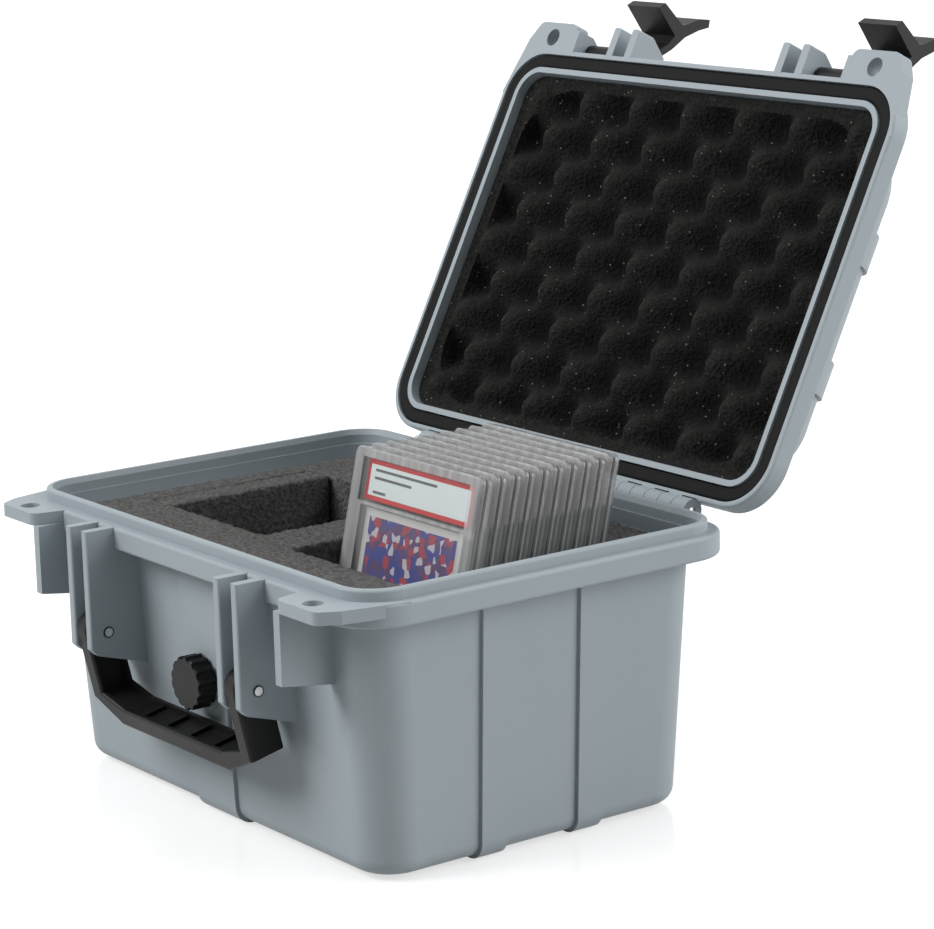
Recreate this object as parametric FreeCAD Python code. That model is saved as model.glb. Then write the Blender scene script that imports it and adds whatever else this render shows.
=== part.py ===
"""Hard case for graded cards: drafted shell, hinged lid, two latches, handle, foam and stored slabs.

Millimetres. X runs along the case, -Y is the handle side, Z is up from the floor.
The lid and its latches are drawn shut, then swung open about their pivots.
"""
import FreeCAD
import Part
import math
import os

V = FreeCAD.Vector

# Rim, shared by base and lid
RIM_LENGTH = 250.0
RIM_DEPTH = 180.0
RIM_CORNER = 22.0
RIM_HEIGHT = 9.0
RIM_OVERHANG = 10.5
RIM_ROUND = 1.2
PARTING_Z = 111.5
PARTING_GAP = 0.3

# Base body
WALL = 3.0
FLOOR = 2.8
BASE_CORNER = 17.0
BASE_DRAFT = 5.0
BASE_BOTTOM_ROUND = 6.5
RUNNER_HEIGHT = 1.5
STRIP_RAISE = 1.5
SIDE_STRIP_WIDTH = 12.0
SIDE_STRIP_Y = 23.0
END_STRIP_WIDTH = 28.0
SHOULDER = 1.5
MOUTH_STEP = 1.0
MOUTH_STEP_DROP = 1.5
MOUTH_BEVEL = 1.1

# Sealing ridge on the base, groove and gasket in the lid
RIDGE_INSET = 4.7
RIDGE_WIDTH = 3.5
RIDGE_HEIGHT = 4.5
GROOVE_OUTER_INSET = 2.3
GROOVE_INNER_INSET = 8.7
GROOVE_DEPTH = 6.6
LIP_WIDTH = 2.5
GASKET_CLEARANCE = 0.2
GASKET_RECESS = 0.6

# Lid dome
LID_HEIGHT = 37.5
LID_CORNER = 30.0
LID_DRAFT = 4.0
LID_WALL = 2.8
LID_TOP_ROUND = 28.0
LID_STRIP_WIDTH = 15.0
LID_STRIP_Y = 27.0
LID_OPEN_DEG = 117.0

# Hinges
HINGE_BEHIND_RIM = 4.24
HINGE_RISE = 0.58
HINGE_RELIEF = 0.5
KNUCKLE_RADIUS = 4.8
KNUCKLE_COUNT = 7
KNUCKLE_GAP = 0.3
HINGE_X_START = 30.5
HINGE_X_END = 90.0
HINGE_PIN_RADIUS = 1.6
HINGE_PIN_INSET = 1.0
HINGE_WEB_DEPTH = 7.5
PIN_SEAT_CLEARANCE = 0.02
PIN_RUNNING_CLEARANCE = 0.05

# Front furniture: paired bracket plates and padlock lugs
BRACKET_FRONT = 12.5
BRACKET_X = 54.5
BRACKET_GAP = 8.0
BRACKET_PLATE = 4.2
BRACKET_FRONT_DROP = 51.0
BRACKET_BACK_DROP = 58.5
BRACKET_CORNER = 3.0
BRACKET_ROUND = 1.0
LID_FIN_FRONT_RISE = 8.5
LID_FIN_MID_RISE = 18.0
LID_FIN_BACK_RISE = 21.5
LID_FIN_SHOULDER = 6.0
LUG_INNER_X = 86.0
LUG_FLANK_X = 119.0
LUG_FLANK_BACK = 8.5
LUG_LENGTH = 28.0
LUG_CORNER = 4.0
LUG_SLOPE = 3.0
LUG_BASE_HEIGHT = 5.0
LUG_LID_HEIGHT = 7.0
LUG_WEB = 4.0
LUG_WEB_SETBACK = 0.8
LUG_WEB_DROP = 33.0
LUG_EAR = 5.0
LUG_EAR_SETBACK = 3.0
LUG_WEB_SLOPE = 4.0
LUG_HOLE_RADIUS = 4.0
LUG_HOLE_X = 103.0
LUG_HOLE_FRONT = 5.5

# Latches
LATCH_SIDE_CLEARANCE = 0.5
LATCH_PIVOT_FRONT = 2.5
LATCH_PIVOT_RISE = 10.6
LATCH_BOSS_RADIUS = 4.2
LATCH_BOSS_RELIEF = 0.5
LATCH_OPEN_DEG = 120.0
LATCH_PIN_RADIUS = 2.0
LATCH_PIN_SEAT = 4.0
CATCH_DROP = 17.0
CATCH_SETBACK = 2.0
# Outline of the shut latch: (in front of the rim, above the parting plane)
LATCH_OUTLINE = [
    (6.7, 10.9), (11.0, 4.0), (14.5, -5.0), (16.0, -13.0), (16.2, -22.0), (18.5, -30.0), (21.0, -35.5),
    (18.5, -38.0), (14.5, -33.0), (12.5, -27.0), (11.0, -24.0), (-3.1, -21.5), (-3.8, -17.5), (12.2, -17.8),
    (12.8, -13.0), (11.4, -5.5), (8.0, 2.8), (3.5, 6.9), (2.5, 10.9)]

# Carrying handle
HANDLE_PIVOT_FRONT = 4.6
HANDLE_PIVOT_DROP = 42.0
HANDLE_PIN_RADIUS = 2.25
HANDLE_PIN_PROUD = 0.5
HANDLE_SIDE_CLEARANCE = 0.4
HANDLE_DEPTH = 15.4
HANDLE_DROP = 36.2
HANDLE_THICK = 7.4
HANDLE_BEND_RUN = 19.0
HANDLE_BEND_RISE = 8.2
HANDLE_TILT_DEG = 12.6
HANDLE_ROUND = 1.2
TRAY_WALL = 2.2
TRAY_DEPTH = 2.6
TRAY_RIB = 1.2
TRAY_RIB_COUNT = 4
TRAY_RIB_PITCH = 17.0
TRAY_RIB_LOW = 1.0

# Purge valve on the front wall
VALVE_DROP = 54.3
VALVE_BOSS_RADIUS = 12.0
VALVE_BOSS_RAISE = 0.5
KNOB_RADIUS = 10.75
KNOB_DEPTH = 8.0
KNOB_SCALLOPS = 14
KNOB_SCALLOP_RADIUS = 1.8
KNOB_ROUND = 1.0
STEM_RADIUS = 3.0
INSERT_RADIUS = 5.0
INSERT_FLANGE_RADIUS = 8.0
INSERT_FLANGE = 2.0
SEAL_INNER_RADIUS = 6.0
SEAL_OUTER_RADIUS = 8.8
SEAL_THICK = 1.0
FIT = 0.2

# Foam
FOAM_ABOVE_SHOULDER = 2.0
FOAM_CLEARANCE = 0.4
FOAM_END_RIGHT = 16.0
FOAM_END_LEFT = 12.5
SLOT_BRIDGE = 27.0
SLOT_FLOOR = 7.5
SLAB_PLAY = 1.0
RIGHT_SLOT_FRONT = 43.6
RIGHT_SLOT_BACK = 46.8
LEFT_SLOT_FRONT = 40.0
LEFT_SLOT_BACK = 40.0
FILLER_WIDTH = 14.5
CRATE_SHEET = 19.3
CRATE_PEAK = 13.5
CRATE_PITCH = 34.0
CRATE_PEAK_RADIUS = 4.5
CRATE_ROOT_RADIUS = 14.0

# Stored slabs
SLAB_COUNT = 10
SLAB_WIDTH = 82.0
SLAB_HEIGHT = 133.0
SLAB_THICK = 6.4
SLAB_CORNER = 3.0
SLAB_BEVEL = 0.7
SLAB_SPACING = 0.2
SLAB_LEAN_DEG = 13.0
CARD_WIDTH = 63.5
CARD_HEIGHT = 88.9
CARD_THICK = 0.6
CARD_RISE = 21.0
LABEL_WIDTH = 69.0
LABEL_HEIGHT = 16.0
LABEL_RISE = 112.8
INSERT_PLAY = 0.1

# Derived places
RIM_X = RIM_LENGTH / 2
RIM_Y = RIM_DEPTH / 2
RIM_BOTTOM_Z = PARTING_Z - RIM_HEIGHT
LID_Z = PARTING_Z + PARTING_GAP
LID_RIM_TOP_Z = LID_Z + RIM_HEIGHT
LID_TOP_Z = PARTING_Z + LID_HEIGHT
BODY_X = RIM_X - RIM_OVERHANG
BODY_Y = RIM_Y - RIM_OVERHANG
BASE_FLOOR_Z = RUNNER_HEIGHT + FLOOR
SHOULDER_Z = RIM_BOTTOM_Z + SHOULDER
FOAM_TOP_Z = SHOULDER_Z + FOAM_ABOVE_SHOULDER
SLOT_FLOOR_Z = BASE_FLOOR_Z + SLOT_FLOOR
RIGHT_SLOT_X1 = BODY_X - WALL - FOAM_END_RIGHT
RIGHT_SLOT_X0 = RIGHT_SLOT_X1 - SLAB_WIDTH - 2 * SLAB_PLAY
LEFT_SLOT_X1 = RIGHT_SLOT_X0 - SLOT_BRIDGE
LEFT_SLOT_X0 = WALL + FOAM_END_LEFT - BODY_X
HINGE_Y = RIM_Y + HINGE_BEHIND_RIM
HINGE_Z = PARTING_Z + HINGE_RISE
BRACKET_Y = -RIM_Y - BRACKET_FRONT
BRACKET_IN = BRACKET_GAP / 2
BRACKET_OUT = BRACKET_IN + BRACKET_PLATE
LATCH_X0 = BRACKET_X + BRACKET_OUT + LATCH_SIDE_CLEARANCE
LATCH_X1 = LUG_INNER_X - LATCH_SIDE_CLEARANCE
LATCH_Y = -RIM_Y - LATCH_PIVOT_FRONT
LATCH_Z = LID_Z + LATCH_PIVOT_RISE
HANDLE_Y = -RIM_Y - HANDLE_PIVOT_FRONT
HANDLE_Z = PARTING_Z - HANDLE_PIVOT_DROP
VALVE_Z = PARTING_Z - VALVE_DROP
X_AXIS = V(1, 0, 0)


def rounded_rect(half_x, half_y, radius, z):
    """Closed wire of four sides and four quarter arcs."""
    edges = []
    corners = [(half_x - radius, half_y - radius, 0), (radius - half_x, half_y - radius, 90),
               (radius - half_x, radius - half_y, 180), (half_x - radius, radius - half_y, 270)]
    points = []
    for cx, cy, start in corners:
        arc = []
        for turn in (0, 45, 90):
            a = math.radians(start + turn)
            arc.append(V(cx + radius * math.cos(a), cy + radius * math.sin(a), z))
        points.append(arc)
    for i, arc in enumerate(points):
        edges.append(Part.Arc(arc[0], arc[1], arc[2]).toShape())
        edges.append(Part.makeLine(arc[2], points[(i + 1) % 4][0]))
    return Part.Wire(edges)


def rounded_pad(half_x, half_y, radius, z0, z1):
    face = Part.Face(rounded_rect(half_x, half_y, radius, z0))
    return face.extrude(V(0, 0, z1 - z0))


def rim_half(inset):
    """Half sizes and corner of the rim's outline, a given distance inside it."""
    return RIM_X - inset, RIM_Y - inset, RIM_CORNER - inset


def rim_pad(inset, z0, z1):
    return rounded_pad(*rim_half(inset), z0, z1)


def rim_ring(outer_inset, inner_inset, z0, z1):
    return rim_pad(outer_inset, z0, z1).cut(rim_pad(inner_inset, z0, z1))


def drafted(low, high, z0, z1):
    """Straight walled solid between two rounded rectangles given as half_x, half_y, radius."""
    return Part.makeLoft([rounded_rect(*low, z0), rounded_rect(*high, z1)], True, True)


def edges_at(shape, z):
    return [e for e in shape.Edges if all(abs(v.Z - z) < 1e-6 for v in e.Vertexes)]


def box(x0, x1, y0, y1, z0, z1):
    return Part.makeBox(x1 - x0, y1 - y0, z1 - z0, V(x0, y0, z0))


def side_plate(points, x0, x1):
    """Outline of (y, z) points carried along X."""
    wire = Part.makePolygon([V(x0, y, z) for y, z in points + points[:1]])
    return Part.Face(wire).extrude(V(x1 - x0, 0, 0))


def top_plate(points, z0, z1):
    """Outline of (x, y) points carried up Z."""
    wire = Part.makePolygon([V(x, y, z0) for x, y in points + points[:1]])
    return Part.Face(wire).extrude(V(0, 0, z1 - z0))


def bar_x(radius, x0, x1, y, z):
    return Part.makeCylinder(radius, x1 - x0, V(x0, y, z), X_AXIS)


def bar_y(radius, y0, y1, x, z):
    return Part.makeCylinder(radius, y1 - y0, V(x, y0, z), V(0, 1, 0))


def mirrored(shape):
    return shape.mirror(V(0, 0, 0), X_AXIS)


def both_sides(shape):
    return [shape, mirrored(shape)]


def swung_open(shape):
    """The lid's rest pose: turned back about the hinge line."""
    turned = shape.copy()
    turned.rotate(V(0, HINGE_Y, HINGE_Z), X_AXIS, -LID_OPEN_DEG)
    return turned


def base_half(grow, z):
    """Half sizes and corner of the base wall at a height, moved outwards by grow."""
    share = (z - RUNNER_HEIGHT) / (RIM_BOTTOM_Z - RUNNER_HEIGHT)
    inset = BASE_DRAFT * (1 - share) - grow
    return BODY_X - inset, BODY_Y - inset, BASE_CORNER + grow


def base_solid(grow, z0, z1):
    """Drafted body of the base with its lower edge rounded."""
    body = drafted(base_half(grow, z0), base_half(grow, z1), z0, z1)
    return body.makeFillet(BASE_BOTTOM_ROUND + grow, edges_at(body, z0))


def lid_solid(grow, z0, z1):
    """Drafted dome of the lid with its upper edge rounded."""
    low = (BODY_X + grow, BODY_Y + grow, LID_CORNER + grow)
    high = (BODY_X + grow - LID_DRAFT, BODY_Y + grow - LID_DRAFT, LID_CORNER + grow)
    body = drafted(low, high, z0, z1)
    return body.makeFillet(LID_TOP_ROUND + grow, edges_at(body, z1))


def strip_boxes(y, width, z0, z1):
    """Bands round the case where the walls are raised: two across, one along."""
    bands = [box(-RIM_X, RIM_X, s * y - width / 2, s * y + width / 2, z0, z1) for s in (-1, 1)]
    end = END_STRIP_WIDTH / 2
    bands.append(box(-end, end, -RIM_Y, RIM_Y, z0, z1))
    return bands[0].multiFuse(bands[1:])


def bracket_plates(points):
    """Pairs of upright plates at both handle ends, from one side outline."""
    plates = []
    for inner, outer in ((BRACKET_IN, BRACKET_OUT), (-BRACKET_OUT, -BRACKET_IN)):
        plate = side_plate(points, BRACKET_X + inner, BRACKET_X + outer)
        front = [e for e in plate.Edges if all(abs(v.Y - BRACKET_Y) < 1e-6 for v in e.Vertexes)
                 and abs(e.Vertexes[0].Z - e.Vertexes[-1].Z) > 1]
        plates += both_sides(plate.makeFillet(BRACKET_ROUND, front))
    return plates


def lug(z0, z1):
    """Padlock lug at a front corner, its outer flank running into the rim."""
    back = -RIM_Y + RIM_CORNER
    outline = [(LUG_INNER_X, back), (LUG_INNER_X, -RIM_Y), (LUG_INNER_X + LUG_SLOPE, BRACKET_Y),
               (LUG_INNER_X + LUG_LENGTH, BRACKET_Y), (LUG_FLANK_X, BRACKET_Y + LUG_FLANK_BACK), (RIM_X, back)]
    block = top_plate(outline, z0, z1)
    corners = [e for e in block.Edges
               if abs(e.Vertexes[0].Z - e.Vertexes[-1].Z) > 1 and abs(e.Vertexes[0].Y - BRACKET_Y) < 1e-6]
    return block.makeFillet(LUG_CORNER, corners)


def lug_hole(z0, z1):
    return Part.makeCylinder(LUG_HOLE_RADIUS, z1 - z0, V(LUG_HOLE_X, -RIM_Y - LUG_HOLE_FRONT, z0))


def knuckle_spans(first):
    """X ranges of every second knuckle, starting at the given one."""
    step = (HINGE_X_END - HINGE_X_START) / KNUCKLE_COUNT
    return [(HINGE_X_START + i * step + KNUCKLE_GAP / 2, HINGE_X_START + (i + 1) * step - KNUCKLE_GAP / 2)
            for i in range(first, KNUCKLE_COUNT, 2)]


def knuckles(first, rise):
    """Hinge barrels with a web to the rim; rise is +1 on the lid and -1 on the base."""
    near = LID_Z if rise > 0 else PARTING_Z
    far = near + HINGE_WEB_DEPTH * rise
    made = []
    for x0, x1 in knuckle_spans(first):
        barrel = bar_x(KNUCKLE_RADIUS, x0, x1, HINGE_Y, HINGE_Z)
        web = side_plate([(RIM_Y - RIM_ROUND, near), (HINGE_Y + KNUCKLE_RADIUS, near),
                          (RIM_Y - RIM_ROUND, far)], x0, x1)
        made += both_sides(barrel.fuse(web))
    return made


def knuckle_reliefs(first):
    """Room in one rim for the other rim's barrels."""
    made = []
    for x0, x1 in knuckle_spans(first):
        made += both_sides(bar_x(KNUCKLE_RADIUS + HINGE_RELIEF, x0 - KNUCKLE_GAP, x1 + KNUCKLE_GAP, HINGE_Y, HINGE_Z))
    return made


def hinge_bore(clearance):
    return both_sides(bar_x(HINGE_PIN_RADIUS + clearance, HINGE_X_START, HINGE_X_END, HINGE_Y, HINGE_Z))


def base_cavity(extra, top):
    """Space inside the base wall, narrowed by extra."""
    low_z = BASE_FLOOR_Z + extra
    body = drafted(base_half(-WALL - extra, low_z), base_half(-WALL - extra, top), low_z, top)
    return body.makeFillet(BASE_BOTTOM_ROUND - FLOOR, edges_at(body, low_z))


def base_shell():
    rim = rim_pad(0, RIM_BOTTOM_Z, PARTING_Z)
    rim = rim.makeFillet(RIM_ROUND, edges_at(rim, RIM_BOTTOM_Z) + edges_at(rim, PARTING_Z))
    body = base_solid(0, RUNNER_HEIGHT, RIM_BOTTOM_Z + SHOULDER)
    strips = base_solid(STRIP_RAISE, 0, RIM_BOTTOM_Z + SHOULDER).common(
        strip_boxes(SIDE_STRIP_Y, SIDE_STRIP_WIDTH, 0, RIM_BOTTOM_Z + SHOULDER))
    ridge = rim_pad(RIDGE_INSET, PARTING_Z - RIM_ROUND, PARTING_Z + RIDGE_HEIGHT)
    ridge = ridge.makeFillet(RIM_ROUND, edges_at(ridge, PARTING_Z + RIDGE_HEIGHT))
    wall_back = -BODY_Y + BASE_DRAFT
    drop_z = PARTING_Z - BRACKET_FRONT_DROP
    plates = bracket_plates([
        (wall_back, PARTING_Z), (BRACKET_Y, PARTING_Z),
        (BRACKET_Y, drop_z + BRACKET_CORNER), (BRACKET_Y + BRACKET_CORNER, drop_z),
        (wall_back, PARTING_Z - BRACKET_BACK_DROP)])
    web_z = RIM_BOTTOM_Z - LUG_WEB_DROP + RIM_HEIGHT
    web_front = BRACKET_Y + LUG_WEB_SETBACK
    lug_z = PARTING_Z - LUG_BASE_HEIGHT
    web = side_plate([(wall_back, lug_z), (web_front, lug_z), (web_front, web_z),
                      (wall_back, web_z - LUG_WEB_SLOPE)], LUG_INNER_X, LUG_INNER_X + LUG_WEB)
    catch = box(BRACKET_X + BRACKET_OUT - BRACKET_PLATE / 2, LUG_INNER_X + LUG_WEB / 2,
                -RIM_Y + CATCH_SETBACK, wall_back, PARTING_Z - CATCH_DROP, RIM_BOTTOM_Z + SHOULDER)
    boss = bar_y(VALVE_BOSS_RADIUS, valve_face_y(), wall_back, 0, VALVE_Z)
    pieces = [body, strips, ridge, boss] + plates
    pieces += both_sides(lug(lug_z, PARTING_Z)) + both_sides(web) + both_sides(catch)
    shell = rim.multiFuse(pieces).cut(knuckle_reliefs(1)).multiFuse(knuckles(0, -1))
    mouth = RIDGE_INSET + RIDGE_WIDTH
    step_z = PARTING_Z - MOUTH_STEP_DROP
    bevel_z = PARTING_Z + RIDGE_HEIGHT - 2 * MOUTH_BEVEL
    cuts = [base_cavity(0, SHOULDER_Z + WALL),
            rim_pad(mouth + MOUTH_STEP, SHOULDER_Z, PARTING_Z + RIDGE_HEIGHT),
            rim_pad(mouth, step_z, PARTING_Z + RIDGE_HEIGHT + WALL),
            drafted(rim_half(mouth), rim_half(mouth - MOUTH_BEVEL), bevel_z, PARTING_Z + RIDGE_HEIGHT),
            bar_y(INSERT_RADIUS + FIT, valve_face_y(), wall_back + WALL, 0, VALVE_Z),
            handle_pin_bar(PIN_SEAT_CLEARANCE)]
    cuts += both_sides(lug_hole(lug_z, PARTING_Z)) + hinge_bore(PIN_SEAT_CLEARANCE)
    shell = shell.cut(cuts)
    return shell.removeSplitter()


def valve_face_y():
    """Flat seat of the valve, just proud of the raised strip on the front wall."""
    return -base_half(STRIP_RAISE, VALVE_Z)[1] - VALVE_BOSS_RAISE


def handle_pin_bar(clearance):
    """Both pivot pins as solids, or as their holes when a clearance is given."""
    proud = HANDLE_PIN_PROUD
    pin = bar_x(HANDLE_PIN_RADIUS + clearance, BRACKET_X - BRACKET_OUT - proud, BRACKET_X + BRACKET_OUT + proud,
                HANDLE_Y, HANDLE_Z)
    return Part.makeCompound(both_sides(pin))


def hinge_pins():
    pin = bar_x(HINGE_PIN_RADIUS, HINGE_X_START + HINGE_PIN_INSET, HINGE_X_END - HINGE_PIN_INSET, HINGE_Y, HINGE_Z)
    return Part.makeCompound(both_sides(pin))


def lid_cavity(extra, z0):
    return lid_solid(-LID_WALL - extra, z0, LID_TOP_Z - LID_WALL - extra)


def lid_fin(front, back):
    """Side outline of a lid fin: upright at its front, then sloping up to the dome."""
    return [(back, LID_Z), (front, LID_Z), (front, LID_Z + LID_FIN_FRONT_RISE),
            (front + LID_FIN_SHOULDER, LID_Z + LID_FIN_MID_RISE), (back, LID_Z + LID_FIN_BACK_RISE)]


def lid_shell():
    plate_z = LID_Z + GROOVE_DEPTH
    rim = rim_pad(0, LID_Z, LID_RIM_TOP_Z)
    rim = rim.makeFillet(RIM_ROUND, edges_at(rim, LID_Z) + edges_at(rim, LID_RIM_TOP_Z))
    dome = lid_solid(0, plate_z, LID_TOP_Z)
    ribs = lid_solid(STRIP_RAISE, plate_z, LID_TOP_Z + STRIP_RAISE).common(
        strip_boxes(LID_STRIP_Y, LID_STRIP_WIDTH, plate_z, LID_TOP_Z + STRIP_RAISE))
    wall_back = -BODY_Y + WALL
    fins = bracket_plates(lid_fin(BRACKET_Y, wall_back))
    ear = side_plate(lid_fin(BRACKET_Y + LUG_EAR_SETBACK, wall_back), LUG_INNER_X, LUG_INNER_X + LUG_EAR)
    lugs = both_sides(lug(LID_Z, LID_Z + LUG_LID_HEIGHT)) + both_sides(ear)
    shell = rim.multiFuse([dome, ribs] + fins + lugs).cut(knuckle_reliefs(0)).multiFuse(knuckles(1, 1))
    lip_inner = GROOVE_INNER_INSET + LIP_WIDTH
    cuts = [rim_ring(GROOVE_OUTER_INSET, GROOVE_INNER_INSET, LID_Z, plate_z),
            rim_pad(lip_inner, LID_Z, plate_z),
            lid_cavity(0, plate_z - WALL)]
    cuts += both_sides(lug_hole(LID_Z, LID_Z + LUG_LID_HEIGHT)) + hinge_bore(PIN_RUNNING_CLEARANCE)
    cuts += both_sides(latch_pin(PIN_SEAT_CLEARANCE))
    cuts += both_sides(bar_x(LATCH_BOSS_RADIUS + LATCH_BOSS_RELIEF, LATCH_X0 - LATCH_SIDE_CLEARANCE,
                             LATCH_X1 + LATCH_SIDE_CLEARANCE, LATCH_Y, LATCH_Z))
    return shell.cut(cuts).removeSplitter()


def lid_gasket():
    play = GASKET_CLEARANCE
    ring = rim_ring(GROOVE_OUTER_INSET + play, GROOVE_INNER_INSET - play,
                    LID_Z + GASKET_RECESS, LID_Z + GROOVE_DEPTH - play)
    return ring.makeFillet(RIM_ROUND, edges_at(ring, LID_Z + GASKET_RECESS))


def latch_pin(clearance):
    """Pin from the bracket's outer fin into the lug, one side."""
    return bar_x(LATCH_PIN_RADIUS + clearance, BRACKET_X + BRACKET_IN, LUG_INNER_X + LATCH_PIN_SEAT, LATCH_Y, LATCH_Z)


def latch():
    """Draw latch on the +X side, made shut: boss, bowed plate, hook and flared finger lever."""
    body = side_plate([(-RIM_Y - y, PARTING_Z + z) for y, z in LATCH_OUTLINE], LATCH_X0, LATCH_X1)
    body = body.fuse(bar_x(LATCH_BOSS_RADIUS, LATCH_X0, LATCH_X1, LATCH_Y, LATCH_Z))
    body = body.cut(latch_pin(PIN_RUNNING_CLEARANCE)).removeSplitter()
    body.rotate(V(0, LATCH_Y, LATCH_Z), X_AXIS, -LATCH_OPEN_DEG)
    return body


def handle_outline(inside):
    """Half outline (x, drop) of the handle, moved in from its outer face by inside."""
    outer_x = BRACKET_X + BRACKET_IN - HANDLE_SIDE_CLEARANCE - inside
    corner = inside * math.tan(math.radians(45) / 2)
    return [(outer_x, HANDLE_DROP - HANDLE_BEND_RISE - corner),
            (outer_x + inside - HANDLE_BEND_RUN - corner, HANDLE_DROP - inside)]


def handle_band(outer, inner, top, y0, y1):
    """Strap between two offsets of the handle's outline, from top down, y0 to y1 in depth."""
    o, i = handle_outline(outer), handle_outline(inner)
    right = [(o[0][0], top), o[0], o[1]]
    left = [(-x, d) for x, d in reversed(right)]
    back = [(-i[0][0], top), (-i[0][0], i[0][1]), (-i[1][0], i[1][1]), i[1], i[0], (i[0][0], top)]
    points = [V(x, HANDLE_Y + y0, HANDLE_Z - d) for x, d in right + left + back]
    return Part.Face(Part.makePolygon(points + points[:1])).extrude(V(0, y1 - y0, 0))


def on_flank(edge, half):
    """Edge that lies in a side face of the strap, or rounds an arm's end."""
    middle = edge.valueAt((edge.FirstParameter + edge.LastParameter) / 2)
    points = [v.Point for v in edge.Vertexes] + [middle]
    flat = all(abs(abs(p.y - HANDLE_Y) - half) < 1e-6 for p in points)
    return flat or (hasattr(edge.Curve, "Radius") and abs(edge.Curve.Radius - half) < 1e-6)


def handle():
    """Moulded bail: rounded arm ends, angled corners and a hollowed, ribbed inner face."""
    half = HANDLE_DEPTH / 2
    strap = handle_band(0, HANDLE_THICK, 0, -half, half)
    arm_out = handle_outline(0)[0][0]
    arm_in = handle_outline(HANDLE_THICK)[0][0]
    ends = both_sides(bar_x(half, arm_in, arm_out, HANDLE_Y, HANDLE_Z))
    tray = handle_band(HANDLE_THICK - TRAY_DEPTH, HANDLE_THICK + FIT, half, TRAY_WALL - half, half - TRAY_WALL)
    body = strap.multiFuse(ends).removeSplitter()
    body = body.makeFillet(HANDLE_ROUND, [e for e in body.Edges if on_flank(e, half)]).cut(tray)
    low = HANDLE_Z - HANDLE_DROP + HANDLE_THICK
    ribs = []
    for i in range(TRAY_RIB_COUNT):
        x = (i - (TRAY_RIB_COUNT - 1) / 2) * TRAY_RIB_PITCH
        ribs.append(box(x - TRAY_RIB / 2, x + TRAY_RIB / 2, HANDLE_Y - half, HANDLE_Y + half,
                        low - TRAY_DEPTH - FIT, low - TRAY_RIB_LOW))
    body = body.multiFuse(ribs).cut(both_sides(bar_x(HANDLE_PIN_RADIUS + PIN_RUNNING_CLEARANCE, arm_in - FIT,
                                                     arm_out + FIT, HANDLE_Y, HANDLE_Z)))
    body.rotate(V(0, HANDLE_Y, HANDLE_Z), X_AXIS, HANDLE_TILT_DEG)
    return body


def valve_knob():
    """Scalloped screw knob with its stem in the insert."""
    back = valve_face_y() - SEAL_THICK
    knob = bar_y(KNOB_RADIUS, back - KNOB_DEPTH, back, 0, VALVE_Z)
    front = [e for e in knob.Edges if abs(e.CenterOfMass.y - back + KNOB_DEPTH) < 1e-6]
    knob = knob.makeFillet(KNOB_ROUND, front)
    cuts = []
    for i in range(KNOB_SCALLOPS):
        a = 2 * math.pi * i / KNOB_SCALLOPS
        cuts.append(bar_y(KNOB_SCALLOP_RADIUS, back - KNOB_DEPTH, back, (KNOB_RADIUS + KNOB_ROUND / 2) * math.cos(a),
                          VALVE_Z + (KNOB_RADIUS + KNOB_ROUND / 2) * math.sin(a)))
    stem = bar_y(STEM_RADIUS, back, insert_back_y() - INSERT_FLANGE / 2, 0, VALVE_Z)
    return knob.cut(cuts).fuse(stem)


def insert_back_y():
    """Inner end of the valve insert, clear of the sloping wall."""
    return -base_half(-WALL, VALVE_Z - INSERT_FLANGE_RADIUS)[1] + FIT + INSERT_FLANGE


def valve_insert():
    back = insert_back_y()
    tube = bar_y(INSERT_RADIUS, valve_face_y() + FIT, back, 0, VALVE_Z)
    flange = bar_y(INSERT_FLANGE_RADIUS, back - INSERT_FLANGE, back, 0, VALVE_Z)
    bore = bar_y(STEM_RADIUS + PIN_RUNNING_CLEARANCE, valve_face_y(), back, 0, VALVE_Z)
    return tube.fuse(flange).cut(bore)


def valve_seal():
    face = valve_face_y()
    ring = bar_y(SEAL_OUTER_RADIUS, face - SEAL_THICK + PIN_RUNNING_CLEARANCE, face, 0, VALVE_Z)
    return ring.cut(bar_y(SEAL_INNER_RADIUS, face - SEAL_THICK, face, 0, VALVE_Z))


def left_slot():
    return box(LEFT_SLOT_X0, LEFT_SLOT_X1, -LEFT_SLOT_FRONT, LEFT_SLOT_BACK, SLOT_FLOOR_Z, FOAM_TOP_Z + WALL)


def right_slot():
    return box(RIGHT_SLOT_X0, RIGHT_SLOT_X1, -RIGHT_SLOT_FRONT, RIGHT_SLOT_BACK, SLOT_FLOOR_Z, FOAM_TOP_Z + WALL)


def base_foam():
    block = base_cavity(FOAM_CLEARANCE, FOAM_TOP_Z)
    relief = bar_y(INSERT_FLANGE_RADIUS + FIT, -BODY_Y, insert_back_y() + FIT, 0, VALVE_Z)
    return block.cut([left_slot(), right_slot(), relief])


def foam_filler():
    """Loose strip that narrows the left slot."""
    return box(LEFT_SLOT_X0 + FIT, LEFT_SLOT_X0 + FILLER_WIDTH, FIT - LEFT_SLOT_FRONT, LEFT_SLOT_BACK - FIT,
               SLOT_FLOOR_Z + FIT, FOAM_TOP_Z)


def lid_foam():
    """Convoluted pad: a sheet against the dome with a staggered field of blunt peaks."""
    inside = lid_cavity(FOAM_CLEARANCE, LID_Z)
    root = LID_TOP_Z - LID_WALL - FOAM_CLEARANCE - CRATE_SHEET
    sheet = box(-RIM_X, RIM_X, -RIM_Y, RIM_Y, root, LID_TOP_Z)
    half = CRATE_PITCH / 2
    rows = int(BODY_Y // half)
    columns = int(BODY_X // half)
    peaks = []
    for row in range(-rows, rows + 1):
        for column in range(-columns, columns + 1):
            if (row + column) % 2 == 0:
                place = V(column * half, row * half, root)
                peaks.append(Part.makeCone(CRATE_ROOT_RADIUS, CRATE_PEAK_RADIUS, CRATE_PEAK, place, V(0, 0, -1)))
    return sheet.multiFuse(peaks).common(inside)


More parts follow.
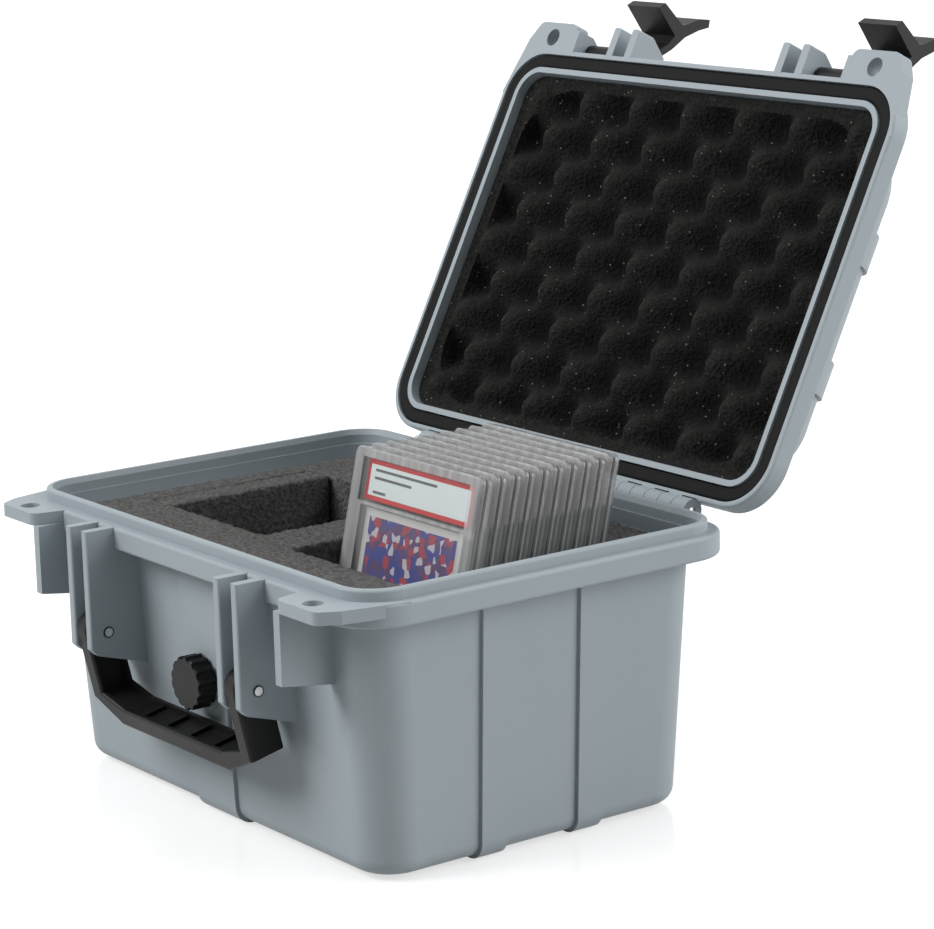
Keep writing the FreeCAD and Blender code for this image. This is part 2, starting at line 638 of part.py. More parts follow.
def slab_place(shape, index):
    """Stand a slab in the right slot, leaning back on the slot's rear edge."""
    lean = math.radians(SLAB_LEAN_DEG)
    pitch = (SLAB_THICK + SLAB_SPACING) / math.cos(lean)
    floor_z = SLOT_FLOOR_Z + FIT + SLAB_THICK * math.sin(lean)
    rise = FOAM_TOP_Z - floor_z
    last = RIGHT_SLOT_BACK - FIT - rise * math.tan(lean) - SLAB_THICK / math.cos(lean)
    placed = shape.copy()
    placed.rotate(V(0, 0, 0), X_AXIS, -SLAB_LEAN_DEG)
    placed.translate(V(RIGHT_SLOT_X0 + SLAB_PLAY, last - (SLAB_COUNT - 1 - index) * pitch, floor_z))
    return placed


def slab_case():
    """Two bevelled halves welded face to face round the card and label pockets."""
    half = SLAB_THICK / 2
    plate = Part.makeBox(SLAB_WIDTH, half, SLAB_HEIGHT)
    upright = [e for e in plate.Edges if abs(e.Vertexes[0].Y - e.Vertexes[-1].Y) > 1]
    plate = plate.makeFillet(SLAB_CORNER, upright)
    rims = [e for e in plate.Edges if abs(e.Vertexes[0].Y - e.Vertexes[-1].Y) < 1e-6]
    plate = plate.makeChamfer(SLAB_BEVEL, rims)
    other = plate.copy()
    other.translate(V(0, half, 0))
    return plate.fuse(other).cut(slab_contents(INSERT_PLAY))


def slab_contents(play):
    """Card and label, or their pockets when a play is given."""
    half = CARD_THICK / 2 + play
    made = []
    for width, height, rise in ((CARD_WIDTH, CARD_HEIGHT, CARD_RISE), (LABEL_WIDTH, LABEL_HEIGHT, LABEL_RISE)):
        x0 = (SLAB_WIDTH - width) / 2
        made.append(box(x0 - play, x0 + width + play, SLAB_THICK / 2 - half, SLAB_THICK / 2 + half,
                        rise - play, rise + height + play))
    return made


def write(name, shape):
    shape.exportStep(os.path.join("parts", name + ".step"))
    print(name, len(shape.Solids), round(shape.Volume, 1), shape.isValid())


def main():
    os.makedirs("parts", exist_ok=True)
    write("base_shell", base_shell())
    write("base_foam", base_foam())
    write("foam_filler", foam_filler())
    write("hinge_pins", hinge_pins())
    write("handle_pins", handle_pin_bar(0))
    write("handle", handle())
    write("valve_insert", valve_insert())
    write("valve_seal", valve_seal())
    write("valve_knob", valve_knob())
    write("lid_shell", swung_open(lid_shell()))
    write("lid_gasket", swung_open(lid_gasket()))
    write("lid_foam", swung_open(lid_foam()))
    write("latch_pins", swung_open(Part.makeCompound(both_sides(latch_pin(0)))))
    right = latch()
    write("latch_right", swung_open(right))
    write("latch_left", swung_open(mirrored(right)))
    case = slab_case()
    inserts = Part.makeCompound(slab_contents(0))
    for index in range(SLAB_COUNT):
        write("slab_%d" % (index + 1), slab_place(case, index))
        write("graded_card_%d" % (index + 1), slab_place(inserts, index))


main()
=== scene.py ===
"""Hard case for graded cards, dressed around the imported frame: finishes, foam, prints and studio."""
import bmesh
import bpy
import numpy as np
from mathutils import Matrix


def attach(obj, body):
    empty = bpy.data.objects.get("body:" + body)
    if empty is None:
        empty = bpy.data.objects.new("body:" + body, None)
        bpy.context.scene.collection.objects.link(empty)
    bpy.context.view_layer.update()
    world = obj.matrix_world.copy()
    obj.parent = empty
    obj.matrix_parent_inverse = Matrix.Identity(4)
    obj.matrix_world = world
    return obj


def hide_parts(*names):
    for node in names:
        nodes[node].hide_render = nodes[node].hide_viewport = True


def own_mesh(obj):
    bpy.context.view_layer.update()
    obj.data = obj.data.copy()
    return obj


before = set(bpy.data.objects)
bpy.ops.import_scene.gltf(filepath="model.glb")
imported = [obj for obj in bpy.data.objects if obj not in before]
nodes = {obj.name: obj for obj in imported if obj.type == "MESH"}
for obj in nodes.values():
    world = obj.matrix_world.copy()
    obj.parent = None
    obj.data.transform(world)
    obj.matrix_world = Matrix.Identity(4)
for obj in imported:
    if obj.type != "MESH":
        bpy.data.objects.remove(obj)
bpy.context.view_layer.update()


# Case shells: base and lid are injection moulded in one light blue-grey polypropylene.
# The mould leaves a fine matt grain, with slow drifts in tone where the melt cooled unevenly.
class Value:
    """A shader value: each operator that is used on it adds one Math node."""

    def __init__(self, finish, socket):
        self.finish = finish
        self.socket = socket

    def math(self, operation, first, second):
        return self.finish.node("Math", {"operation": operation}, {0: first, 1: second})

    def __add__(self, other):
        return self.math("ADD", self, other)

    def __sub__(self, other):
        return self.math("SUBTRACT", self, other)

    def __rsub__(self, other):
        return self.math("SUBTRACT", other, self)

    def __mul__(self, other):
        return self.math("MULTIPLY", self, other)

    def __gt__(self, other):
        return self.math("GREATER_THAN", self, other)

    def __lt__(self, other):
        return self.math("LESS_THAN", self, other)

    def __abs__(self):
        return self.math("ABSOLUTE", self, 0.0)

    def __pow__(self, other):
        return self.math("POWER", self, other)

    __radd__ = __add__
    __rmul__ = __mul__


class Finish:
    """A material or world with its first shader, and one method that adds every other node."""

    def __init__(self, owner, sockets, shader="Principled BSDF"):
        self.owner = owner
        self.owner.use_nodes = True
        self.tree = self.owner.node_tree
        self.shader = self.tree.nodes[shader]
        self.fill(self.shader, sockets)

    def fill(self, node, sockets):
        for key, value in sockets.items():
            if isinstance(value, Value):
                self.tree.links.new(value.socket, node.inputs[key])
            else:
                node.inputs[key].default_value = value

    def node(self, kind, settings, sockets, output=0):
        node = self.tree.nodes.new("ShaderNode" + kind)
        for key, value in settings.items():
            setattr(node, key, value)
        self.fill(node, sockets)
        return Value(self, node.outputs[output])

    def place(self):
        return self.node("TexCoord", {}, {}, "Object")

    def noise(self, scale, detail=2.0):
        return self.node("TexNoise", {}, {"Vector": self.place(), "Scale": scale, "Detail": detail})

    def blend(self, share, low, high):
        return self.node("Mix", {"data_type": "RGBA"}, {0: share, 6: low, 7: high}, 2)

    def bump(self, height, distance):
        return self.node("Bump", {}, {"Strength": 1.0, "Distance": distance, "Height": height})

    def surface(self, sockets):
        self.fill(self.shader, sockets)
        return self.owner


def dress(material, *names):
    """Give CAD nodes a finish."""
    for name in names:
        for slot in nodes[name].material_slots:
            slot.material = material


SHELL_LIGHT = (0.345, 0.395, 0.425, 1.0)
SHELL_DARK = (0.305, 0.352, 0.380, 1.0)
SHELL_GRAIN = 1500.0
SHELL_GRAIN_DEPTH = 0.00006
SHELL_DRIFT = 9.0

shell_finish = Finish(bpy.data.materials.new("moulded_shell"), {"Specular IOR Level": 0.24})
shell_drift = shell_finish.noise(SHELL_DRIFT, 3.0)
shell_grain = shell_finish.noise(SHELL_GRAIN, 3.0)
dress(shell_finish.surface({
    "Base Color": shell_finish.blend(shell_drift, SHELL_DARK, SHELL_LIGHT),
    "Roughness": 0.44 + 0.12 * shell_grain,
    "Normal": shell_finish.bump(shell_grain, SHELL_GRAIN_DEPTH)}), "base_shell", "lid_shell")


# Black furniture: latches, handle, valve knob and valve insert are moulded in a harder black plastic.
# The grain is coarser than on the shells, and handling has polished it in patches.
BLACK_DEEP = (0.0030, 0.0030, 0.0032, 1.0)
BLACK_RUBBED = (0.0095, 0.0094, 0.0092, 1.0)
BLACK_WEAR = 60.0
BLACK_GRAIN = 1100.0
BLACK_GRAIN_DEPTH = 0.00008

black_finish = Finish(bpy.data.materials.new("black_furniture"), {"Specular IOR Level": 0.20})
black_wear = black_finish.noise(BLACK_WEAR, 4.0)
black_grain = black_finish.noise(BLACK_GRAIN, 2.0)
dress(black_finish.surface({
    "Base Color": black_finish.blend(black_wear, BLACK_DEEP, BLACK_RUBBED),
    "Roughness": 0.30 + 0.22 * black_wear,
    "Normal": black_finish.bump(black_grain, BLACK_GRAIN_DEPTH)}),
    "latch_left", "latch_right", "handle", "valve_knob", "valve_insert")


# Pins: drawn steel rod, cut to length, driven through the hinge knuckles, latches and handle ears.
# Fine rings from the drawing die run round them, and the handle pins' ends have a dark turned edge.
PIN_RINGS = 2400.0
PIN_DULL = (0.50, 0.50, 0.51, 1.0)
PIN_BRIGHT = (0.78, 0.78, 0.78, 1.0)
PIN_EDGE = (0.05, 0.05, 0.05, 1.0)
PIN_EDGE_RADIUS = 0.00175
HANDLE_PIN_Y, HANDLE_PIN_Z = -0.0946, 0.0695
HANDLE_PIN_REACH = 0.01

pin_finish = Finish(bpy.data.materials.new("drawn_steel"), {"Metallic": 1.0})
pin_rings = pin_finish.noise(PIN_RINGS, 1.0)
pin_y = pin_finish.node("SeparateXYZ", {}, {0: pin_finish.place()}, 1) - HANDLE_PIN_Y
pin_z = pin_finish.node("SeparateXYZ", {}, {0: pin_finish.place()}, 2) - HANDLE_PIN_Z
pin_off = pin_y * pin_y + pin_z * pin_z
pin_edge = (pin_off > PIN_EDGE_RADIUS ** 2) * (pin_off < HANDLE_PIN_REACH ** 2)
pin_steel = pin_finish.blend(pin_rings, PIN_DULL, PIN_BRIGHT)
dress(pin_finish.surface({
    "Base Color": pin_finish.blend(pin_edge, pin_steel, PIN_EDGE),
    "Roughness": 0.25 + 0.15 * pin_rings}), "hinge_pins", "latch_pins", "handle_pins")


# Gasket and valve ring: extruded black rubber, pressed into the lid's groove and under the knob.
# A dull, slightly dusty skin.
RUBBER_CLEAN = (0.0035, 0.0036, 0.0037, 1.0)
RUBBER_DUSTY = (0.0105, 0.0105, 0.0105, 1.0)
RUBBER_DUST = 260.0
RUBBER_DUST_DEPTH = 0.0001

rubber_finish = Finish(bpy.data.materials.new("seal_rubber"), {"Specular IOR Level": 0.12})
rubber_dust = rubber_finish.noise(RUBBER_DUST, 5.0)
dress(rubber_finish.surface({
    "Base Color": rubber_finish.blend(rubber_dust, RUBBER_CLEAN, RUBBER_DUSTY),
    "Roughness": 0.62 + 0.2 * rubber_dust,
    "Normal": rubber_finish.bump(rubber_dust, RUBBER_DUST_DEPTH)}), "lid_gasket", "valve_seal")


# Base foam: a block of dark grey open cell foam with two cut slots, and a loose strip of the same foam.
# Knife-cut edges are a little soft, and the cut faces show the cells.
FOAM_VOXEL = 0.0016
FOAM_WELD = 1e-6
FOAM_RAGGED = 0.00022
FOAM_CELL = 620.0
FOAM_CELL_DEPTH = 0.0005
FOAM_DARK = (0.026, 0.0255, 0.025, 1.0)
FOAM_PALE = (0.150, 0.147, 0.145, 1.0)
DUST_SCALE = 420.0
DUST_SIZE = 0.16
DUST_RARITY = 0.80
DUST_TONE = (0.16, 0.15, 0.135, 1.0)


def cell_finish(name, cell, dark, pale, depth, dust_and_shade):
    """Open cells: the nearest-cell distance darkens and dents the surface, and a slow noise drifts the tone.
    A second, coarser cell pattern keeps one small disc in a few of its cells, as specks of dust.
    A share given as a function of the place scales how pale the surface is: on the lid pad it is low in the
    hollows, as painted shade, and high on the peaks, as dust."""
    finish = Finish(bpy.data.materials.new(name), {"Specular IOR Level": 0.06, "Roughness": 0.95})
    cells = finish.node("TexVoronoi", {}, {"Vector": finish.place(), "Scale": cell})
    flecks = finish.noise(cell * 0.55, 3.0)
    # Where the place's share is low the tone falls towards the dark tone as painted shade; where high it rises
    # to the pale tone as dust.
    tone = finish.blend((cells * 0.65 + flecks * 0.5) * dust_and_shade(finish), dark, pale)
    dust = finish.node("TexVoronoi", {}, {"Vector": finish.place(), "Scale": DUST_SCALE})
    lone = finish.node("SeparateColor", {}, {0: finish.node("TexVoronoi", {}, {
        "Vector": finish.place(), "Scale": DUST_SCALE}, "Color")})
    tone = finish.blend((dust < DUST_SIZE) * (lone > DUST_RARITY), tone, DUST_TONE)
    return finish.surface({"Base Color": tone, "Normal": finish.bump(cells + flecks, depth)})


def cut_foam(node, name, voxel, ragged, seed):
    """Copy of a CAD foam solid, remeshed evenly and its edges eased; each point takes a seeded random step."""
    work = bmesh.new()
    work.from_mesh(nodes[node].data)
    bmesh.ops.remove_doubles(work, verts=work.verts, dist=FOAM_WELD)
    mesh = bpy.data.meshes.new(name)
    work.to_mesh(mesh)
    work.free()
    piece = bpy.data.objects.new(name, mesh)
    bpy.context.scene.collection.objects.link(piece)
    remesh = piece.modifiers.new("even", "REMESH")
    remesh.mode = "VOXEL"
    remesh.voxel_size = voxel
    ease = piece.modifiers.new("ease", "SMOOTH")
    ease.factor = 0.5
    ease.iterations = 2
    even = bpy.data.meshes.new_from_object(piece.evaluated_get(bpy.context.evaluated_depsgraph_get()))
    piece.modifiers.clear()
    piece.data = even
    count = len(even.vertices)
    points = np.empty(count * 3)
    even.vertices.foreach_get("co", points)
    steps = np.random.default_rng(seed).normal(0.0, ragged, count * 3)
    even.vertices.foreach_set("co", points + np.clip(steps, -2 * ragged, 2 * ragged))
    even.shade_smooth()
    even.materials.clear()
    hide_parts(node)
    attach(piece, "base")
    return piece


slot_foam = cell_finish("cut_foam", FOAM_CELL, FOAM_DARK, FOAM_PALE, FOAM_CELL_DEPTH, lambda finish: 1.0)
foam_block = cut_foam("base_foam", "foam_block", FOAM_VOXEL, FOAM_RAGGED, 3)
foam_block.data.materials.append(slot_foam)
foam_strip = cut_foam("foam_filler", "foam_strip", FOAM_VOXEL, FOAM_RAGGED, 5)
foam_strip.data.materials.append(slot_foam)


# Lid foam: a convoluted black pad, cut between rollers into a staggered field of peaks and hollows.
# It is pushed into the dome, so its border crowds up on the ledge behind the lid's lip. Above the slabs
# it is a block of its own, which they press flat against the dome's ceiling when the lid shuts.
HINGE_Y, HINGE_Z = 0.09424, 0.11208
LID_OPEN = np.radians(117.0)
PAD_HALF_X, PAD_HALF_Y, PAD_CORNER = 0.1131, 0.0781, 0.0100
PAD_LEDGE_Z = 0.1180
PAD_BORDER_Z = 0.1160
PAD_BORDER = 0.009
CRATE_HALF = 0.017
CRATE_ROOT_Z = 0.1265
CRATE_PEAK = 0.0135
DOME_HALF_X, DOME_HALF_Y, DOME_CORNER = 0.1080, 0.0730, 0.0268
DOME_TOP_Z = 0.1457
DOME_ROUND = 0.0248
PAD_COLUMNS, PAD_ROWS = 272, 178
PAD_SKIN = 0.0008
PAD_CREASE = np.radians(40.0)
CRATE_POWER = 1.15
CRATE_CELL = 700.0
# The pad sits near its dark tone in the hollows, as painted shade, and near its pale tone on the peaks, as
# dust.
CRATE_DARK = (0.0028, 0.0028, 0.0028, 1.0)
CRATE_PALE = (0.027, 0.0265, 0.0255, 1.0)
PRESSED_X, PRESSED_Y = (0.0, 0.0965), (-0.034, 0.0585)


def opened(points):
    """Points given with the lid shut, turned back about the hinge line to the lid's rest."""
    y, z = points[..., 1] - HINGE_Y, points[..., 2] - HINGE_Z
    cos, sin = np.cos(LID_OPEN), np.sin(LID_OPEN)
    return np.stack([points[..., 0], HINGE_Y + cos * y + sin * z, HINGE_Z - sin * y + cos * z], axis=-1)


def inside_distance(x, y, half_x, half_y, corner):
    """How far a point lies inside a rounded rectangle: the corner radius less the distance from the corner's
    centre, or the distance to the nearest side. It is negative outside."""
    over_x, over_y = np.abs(x) - half_x + corner, np.abs(y) - half_y + corner
    beyond = np.hypot(np.maximum(over_x, 0.0), np.maximum(over_y, 0.0))
    return corner - beyond - np.minimum(np.maximum(over_x, over_y), 0.0)


def rounded_grid(columns, rows, half_x, half_y, corner):
    """Even grid on a rectangle; each corner square is drawn in to a quarter disc by its larger overhang."""
    x, y = np.meshgrid(np.linspace(-half_x, half_x, columns), np.linspace(-half_y, half_y, rows),
                       indexing="ij")
    over_x = np.maximum(np.abs(x) - half_x + corner, 0.0)
    over_y = np.maximum(np.abs(y) - half_y + corner, 0.0)
    share = np.maximum(over_x, over_y) / np.maximum(np.hypot(over_x, over_y), 1e-9)
    in_corner = (over_x > 0) & (over_y > 0)
    x = np.where(in_corner, np.sign(x) * (half_x - corner + over_x * share), x)
    y = np.where(in_corner, np.sign(y) * (half_y - corner + over_y * share), y)
    return x, y


def closed_pad(name, front, back):
    """Two grids with one outline joined into a closed skin of quads between neighbouring grid points."""
    columns, rows = front.shape[:2]
    index = np.arange(columns * rows).reshape(columns, rows)
    quads = np.stack([index[:-1, :-1], index[1:, :-1], index[1:, 1:], index[:-1, 1:]], axis=-1).reshape(-1, 4)
    points = np.concatenate([front.reshape(-1, 3), back.reshape(-1, 3)])
    faces = np.concatenate([quads[:, ::-1], quads + columns * rows])
    mesh = bpy.data.meshes.new(name)
    mesh.from_pydata(points.tolist(), [], faces.tolist())
    work = bmesh.new()
    work.from_mesh(mesh)
    bmesh.ops.remove_doubles(work, verts=work.verts, dist=FOAM_WELD)
    bmesh.ops.recalc_face_normals(work, faces=work.faces)
    work.to_mesh(mesh)
    work.free()
    mesh.shade_smooth()
    mesh.set_sharp_from_angle(angle=float(PAD_CREASE))
    piece = bpy.data.objects.new(name, mesh)
    bpy.context.scene.collection.objects.link(piece)
    return piece


def walled(front, back):
    """A cut block of the pad: one more ring of points round the front grid drops to the back grid's edge."""
    ring = np.pad(back, ((1, 1), (1, 1), (0, 0)), mode="edge")
    face = ring.copy()
    face[1:-1, 1:-1] = front
    return face, ring


pad_x, pad_y = rounded_grid(PAD_COLUMNS, PAD_ROWS, PAD_HALF_X, PAD_HALF_Y, PAD_CORNER)
pad_edge = np.maximum(inside_distance(pad_x, pad_y, PAD_HALF_X, PAD_HALF_Y, PAD_CORNER), 0.0)
# Front: the product of two cosines peaks on a staggered grid, a power narrows the peaks,
# and the border rises smoothly to the ledge.
pad_wave = np.cos(np.pi * pad_x / CRATE_HALF) * np.cos(np.pi * pad_y / CRATE_HALF)
pad_front = CRATE_ROOT_Z - CRATE_PEAK * ((1.0 + pad_wave) / 2.0) ** CRATE_POWER
pad_share = np.clip(pad_edge / PAD_BORDER, 0.0, 1.0)
pad_share = pad_share * pad_share * (3.0 - 2.0 * pad_share)
pad_front = PAD_BORDER_Z + (pad_front - PAD_BORDER_Z) * pad_share
# Back: the dome's ceiling, falling in a quarter round towards its wall, then the flat ledge outside the wall.
dome_edge = inside_distance(pad_x, pad_y, DOME_HALF_X, DOME_HALF_Y, DOME_CORNER)
pad_back = DOME_TOP_Z - DOME_ROUND + np.sqrt(
    np.maximum(DOME_ROUND ** 2 - np.clip(DOME_ROUND - dome_edge, 0.0, DOME_ROUND) ** 2, 0.0))
pad_back = np.where(dome_edge > 0.0, pad_back, PAD_LEDGE_Z)
pad_front = np.minimum(pad_front, pad_back - PAD_SKIN)
pad_back = np.where(pad_edge > FOAM_WELD, pad_back, pad_front)
pad_face = opened(np.stack([pad_x, pad_y, pad_front], axis=-1))
pad_rear = opened(np.stack([pad_x, pad_y, pad_back], axis=-1))


def peak_share(finish):
    """Height over the pad's hollows as a share of a peak's, with the lid's lean taken out.
    It runs from 0.3 in a hollow to 1.25 at a tip; as the foam's tone share it darkens the hollows as painted
    shade and pales the peaks as dust."""
    y = finish.node("SeparateXYZ", {}, {0: finish.place()}, 1) - HINGE_Y
    z = finish.node("SeparateXYZ", {}, {0: finish.place()}, 2) - HINGE_Z
    height = y * float(np.sin(LID_OPEN)) + z * float(np.cos(LID_OPEN))
    share = (CRATE_ROOT_Z - HINGE_Z - height) * (1.0 / CRATE_PEAK)
    return 0.3 + 0.95 * finish.node("Clamp", {}, {0: share})


# The lid pad's tone follows the peak share: painted shade darkens its hollows, and dust pales its peaks.
crate_foam = cell_finish("crate_foam", CRATE_CELL, CRATE_DARK, CRATE_PALE, FOAM_CELL_DEPTH, peak_share)
cut_i = np.searchsorted(np.linspace(-PAD_HALF_X, PAD_HALF_X, PAD_COLUMNS), PRESSED_X)
cut_j = np.searchsorted(np.linspace(-PAD_HALF_Y, PAD_HALF_Y, PAD_ROWS), PRESSED_Y)
over_slabs, between = slice(cut_i[0], cut_i[1] + 1), slice(cut_j[0], cut_j[1] + 1)
for name, across, along in (("crate_pressed", over_slabs, between),
                            ("crate_left", slice(0, cut_i[0] + 1), slice(None)),
                            ("crate_right", slice(cut_i[1], None), slice(None)),
                            ("crate_front", over_slabs, slice(0, cut_j[0] + 1)),
                            ("crate_back", over_slabs, slice(cut_j[1], None))):
    crate = closed_pad(name, *walled(pad_face[across, along], pad_rear[across, along]))
    crate.data.materials.append(crate_foam)
    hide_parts("lid_foam")
    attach(crate, "lid")
    if name == "crate_pressed":
        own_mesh(crate)


# Slabs: two clear plastic halves welded round a card and a printed label, ten standing in a row.
# The plastic is hard and clear; its colour carries light and dark streaks painted as reflections, and a band
# of painted highlight at the front and back of each slab's edge; the weld shows as a dark line along the edge
# of each slab.
SLAB_COUNT = 10
SLAB_CORNER = (0.0125, -0.04230, 0.01344)
SLAB_LEAN = np.radians(13.0)
SLAB_PITCH = 0.0066
SLAB_STEP = SLAB_PITCH * float(np.tan(SLAB_LEAN))
SLAB_THICK = 0.0064
SLAB_HIGHLIGHT_WIDTH = 0.0007
SLAB_SHELL = 0.0030
SLAB_WELD, SLAB_WELD_HALF = 0.0032, 0.00022
# Dark and light tones of the streaks painted as reflections, the painted edge highlight, and the weld.
SLAB_DARK_REFLECTION = (0.09, 0.092, 0.092, 1.0)
SLAB_LIGHT_REFLECTION = (0.58, 0.59, 0.59, 1.0)
SLAB_HIGHLIGHT = (0.80, 0.81, 0.81, 1.0)
SLAB_WELD_TONE = (0.03, 0.03, 0.03, 1.0)


def slab_places(finish):
    """Distance across, up and through a slab: the row's first corner is the zero, the axes lean with the
    slabs, and the distance through is counted from the front of whichever slab the point is in."""
    place = finish.place()
    x = finish.node("SeparateXYZ", {}, {0: place}, 0) - SLAB_CORNER[0]
    y = finish.node("SeparateXYZ", {}, {0: place}, 1) - SLAB_CORNER[1]
    z = finish.node("SeparateXYZ", {}, {0: place}, 2) - SLAB_CORNER[2]
    through = y * float(np.cos(SLAB_LEAN)) - z * float(np.sin(SLAB_LEAN))
    number = finish.node("Math", {"operation": "FLOOR"}, {0: through * (1.0 / SLAB_PITCH) + 0.015})
    up = y * float(np.sin(SLAB_LEAN)) + z * float(np.cos(SLAB_LEAN)) - number * SLAB_STEP
    return x, up, through - number * SLAB_PITCH


def within(value, low, high):
    return (value > low) * (value < high)


slab_finish = Finish(bpy.data.materials.new("clear_slab"), {"Specular IOR Level": 0.65})
slab_across, slab_up, slab_through = slab_places(slab_finish)
slab_reflection_streaks = slab_finish.node("TexNoise", {}, {"Vector": slab_finish.node("CombineXYZ", {}, {
    0: slab_across * 260.0, 1: slab_through * 900.0, 2: slab_up * 14.0}), "Scale": 1.0, "Detail": 3.0})
slab_weld = abs(slab_through - SLAB_WELD) < SLAB_WELD_HALF
slab_window = within(slab_across, 0.0062, 0.0758) * within(slab_up, 0.1122, 0.1294) + within(
    slab_across, 0.0088, 0.0732) * within(slab_up, 0.0200, 0.1108)
slab_front = slab_through < SLAB_SHELL
# Light and dark streaks painted into the clear plastic's colour as reflections.
slab_tone = slab_finish.blend((slab_reflection_streaks * 1.4) ** 3.0, SLAB_DARK_REFLECTION, SLAB_LIGHT_REFLECTION)
# A painted highlight in a thin band at the front and back of each slab's edge.
slab_highlight_band = (slab_through < SLAB_HIGHLIGHT_WIDTH) + (slab_through > SLAB_THICK - SLAB_HIGHLIGHT_WIDTH)
slab_tone = slab_finish.blend(slab_highlight_band * 0.42, slab_tone, SLAB_HIGHLIGHT)
dress(slab_finish.surface({
    "Base Color": slab_finish.blend(slab_weld, slab_tone, SLAB_WELD_TONE),
    "Roughness": 0.06 + 0.14 * slab_reflection_streaks,
    "Alpha": 0.56 - 0.50 * slab_window * slab_front + 0.3 * slab_weld}),
    *["slab_%d" % i for i in range(1, SLAB_COUNT + 1)])


# Cards and labels: printed board sealed behind the clear front.
# The label is a white field in a red border with three plain bars; the card is a play of coloured spots.
CARD_LEFT, CARD_RIGHT, CARD_LOW, CARD_TOP = 0.00925, 0.07275, 0.0210, 0.1099
LABEL_LEFT, LABEL_RIGHT, LABEL_LOW, LABEL_TOP = 0.0065, 0.0755, 0.1128, 0.1288
LABEL_BORDER = 0.0019
LABEL_RED = (0.56, 0.020, 0.026, 1.0)
LABEL_WHITE = (0.74, 0.82, 0.82, 1.0)
LABEL_BARS = ((0.1243, 0.052), (0.1212, 0.036), (0.1156, 0.020))
BAR_START, BAR_HEIGHT, BAR_TONE = 0.0115, 0.0011, (0.10, 0.11, 0.12, 1.0)
CARD_MARGIN = 0.003
CARD_EDGE = (0.60, 0.60, 0.58, 1.0)
CARD_BLUE = (0.050, 0.060, 0.26, 1.0)
CARD_SPOTS = ((0.40, (0.36, 0.045, 0.075, 1.0)), (0.58, (0.52, 0.50, 0.55, 1.0)),
              (0.72, (0.10, 0.055, 0.15, 1.0)))

card_finish = Finish(bpy.data.materials.new("card_print"), {"Roughness": 0.32, "Specular IOR Level": 0.5})
card_across, card_up = slab_places(card_finish)[:2]
on_label = card_up > (CARD_TOP + LABEL_LOW) / 2
label_field = within(card_across, LABEL_LEFT + LABEL_BORDER, LABEL_RIGHT - LABEL_BORDER) * within(
    card_up, LABEL_LOW + LABEL_BORDER, LABEL_TOP - LABEL_BORDER)
label_tone = card_finish.blend(label_field, LABEL_RED, LABEL_WHITE)
for bar_low, bar_end in LABEL_BARS:
    label_bar = within(card_up, bar_low, bar_low + BAR_HEIGHT) * within(card_across, BAR_START, bar_end)
    label_tone = card_finish.blend(label_bar, label_tone, BAR_TONE)
card_field = within(card_across, CARD_LEFT + CARD_MARGIN, CARD_RIGHT - CARD_MARGIN) * within(
    card_up, CARD_LOW + CARD_MARGIN, CARD_TOP - CARD_MARGIN)
card_swirl = card_finish.node("Mix", {"data_type": "RGBA", "blend_type": "ADD"}, {
    0: 0.004, 6: card_finish.place(), 7: card_finish.node("TexNoise", {}, {
        "Vector": card_finish.place(), "Scale": 140.0}, "Color")}, 2)
card_spots = card_finish.node("SeparateColor", {}, {0: card_finish.node("TexVoronoi", {}, {
    "Vector": card_swirl, "Scale": 330.0}, "Color")})
card_tone = CARD_BLUE
for spot_from, spot_tone in CARD_SPOTS:
    card_tone = card_finish.blend(card_spots > spot_from, card_tone, spot_tone)
card_tone = card_finish.blend(card_field, CARD_EDGE, card_tone)
dress(card_finish.surface({"Base Color": card_finish.blend(on_label, card_tone, label_tone)}),
      *["graded_card_%d" % i for i in range(1, SLAB_COUNT + 1)])


# Studio: a pale polished floor and a white surround, white to the eye, in mirrors and through clear plastic.
# A large soft lamp stands on the handle side, a wider one behind on the right, and a weak one hangs overhead.
FLOOR_SIZE = 6.0
FLOOR_TONE = (0.46, 0.46, 0.46, 1.0)
FLOOR_WHITE = (0.62, 0.62, 0.62, 1.0)
FLOOR_POLISH = 0.13
WORLD_LEVEL = 0.13


def soft_lamp(name, place, aim, size, power):
    lamp = bpy.data.lights.new(name, "AREA")
    lamp.size = size
    lamp.energy = power
    stand = bpy.data.objects.new(name, lamp)
    bpy.context.scene.collection.objects.link(stand)
    back = np.array(place) - np.array(aim)
    back = back / np.linalg.norm(back)
    right = np.cross((0.0, 0.0, 1.0), back)
    right = right / np.linalg.norm(right)
    up = np.cross(back, right)
    stand.matrix_world = Matrix([[right[i], up[i], back[i], place[i]] for i in range(3)] + [[0, 0, 0, 1]])


soft_lamp("key", (-0.9, -1.9, 1.9), (0, 0, 0.1), 1.5, 70.0)
soft_lamp("fill", (1.7, 1.5, 1.1), (0, 0, 0.15), 2.0, 50.0)
soft_lamp("top", (0.2, 0.3, 2.4), (0, 0, 0.1), 1.2, 13.0)

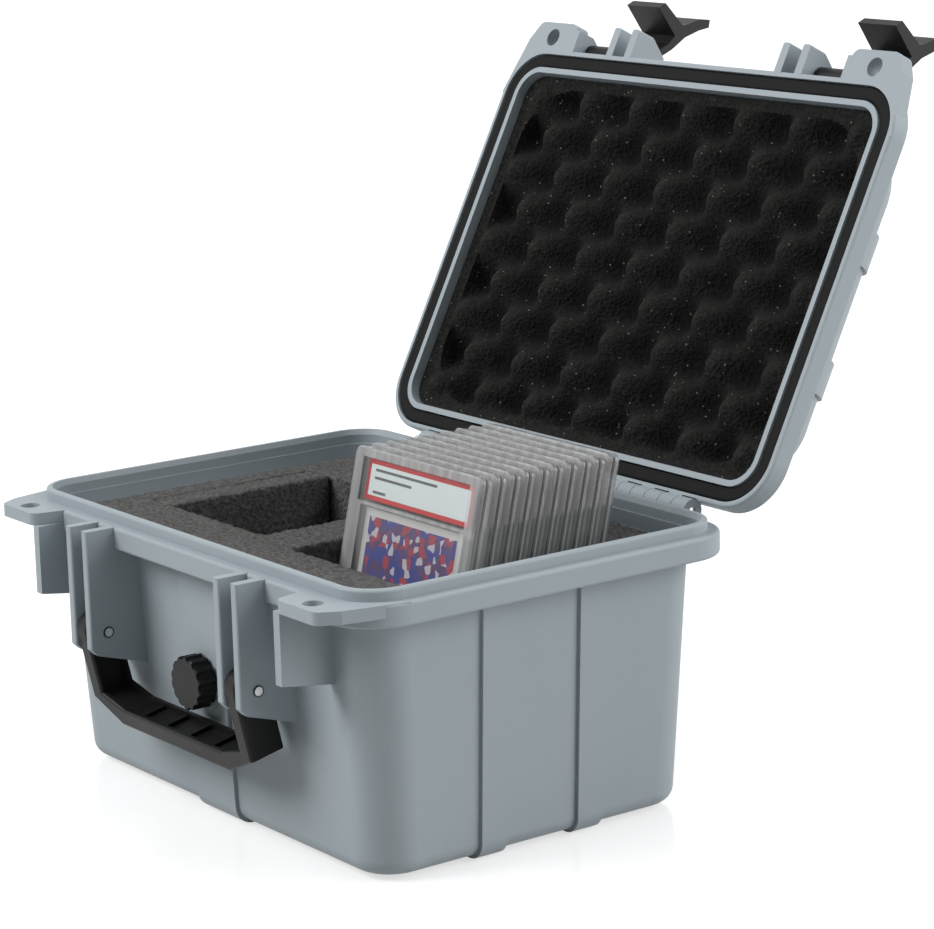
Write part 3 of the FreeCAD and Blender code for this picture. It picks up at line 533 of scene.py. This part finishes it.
floor_mesh = bpy.data.meshes.new("floor")
floor_mesh.from_pydata([(-FLOOR_SIZE, -FLOOR_SIZE, 0), (FLOOR_SIZE, -FLOOR_SIZE, 0),
                        (FLOOR_SIZE, FLOOR_SIZE, 0), (-FLOOR_SIZE, FLOOR_SIZE, 0)], [], [(0, 1, 2, 3)])
floor = bpy.data.objects.new("floor", floor_mesh)
bpy.context.scene.collection.objects.link(floor)


def bright_rays(finish):
    """One for rays from the eye, from a mirror and through clear plastic, and zero for the rays of light."""
    eye, mirror, clear = [finish.node("LightPath", {}, {}, "Is %s Ray" % kind)
                          for kind in ("Camera", "Glossy", "Transmission")]
    return 1.0 - (1.0 - eye) * (1.0 - mirror) * (1.0 - clear)


floor_finish = Finish(bpy.data.materials.new("pale_floor"), {
    "Base Color": FLOOR_TONE, "Roughness": FLOOR_POLISH, "Emission Strength": 1.0})
floor_mesh.materials.append(floor_finish.surface({
    "Emission Color": floor_finish.blend(bright_rays(floor_finish), (0.0, 0.0, 0.0, 1.0), FLOOR_WHITE)}))

bpy.context.scene.world = bpy.data.worlds.new("studio")
sky = Finish(bpy.context.scene.world, {"Color": (1.0, 1.0, 1.0, 1.0)}, "Background")
sky.fill(sky.shader, {"Strength": WORLD_LEVEL + (1.0 - WORLD_LEVEL) * bright_rays(sky)})


# Camera: stands to the right of the handle side and a little above the rim, at the photograph's place.
# Its axes and focal length in pixels come from a fit to the corners of rim, base and lid.
CAMERA_PLACE = (1.040142, -0.714517, 0.412351)
CAMERA_RIGHT = (0.5969, 0.801899, -0.025872)
CAMERA_DOWN = (0.160413, -0.150876, -0.975451)
CAMERA_AHEAD = (-0.786116, 0.578096, -0.218692)
CAMERA_FOCUS = 3239.38
IMAGE_WIDTH = 934.0
SENSOR_WIDTH = 36.0

lens = bpy.data.cameras.new("camera")
lens.sensor_fit = "HORIZONTAL"
lens.sensor_width = SENSOR_WIDTH
lens.lens = SENSOR_WIDTH * CAMERA_FOCUS / IMAGE_WIDTH
camera = bpy.data.objects.new("camera", lens)
bpy.context.scene.collection.objects.link(camera)
camera.matrix_world = Matrix([
    [CAMERA_RIGHT[i], -CAMERA_DOWN[i], -CAMERA_AHEAD[i], CAMERA_PLACE[i]] for i in range(3)] + [[0, 0, 0, 1]])
bpy.context.scene.camera = camera
bpy.context.scene.view_settings.view_transform = "Standard"
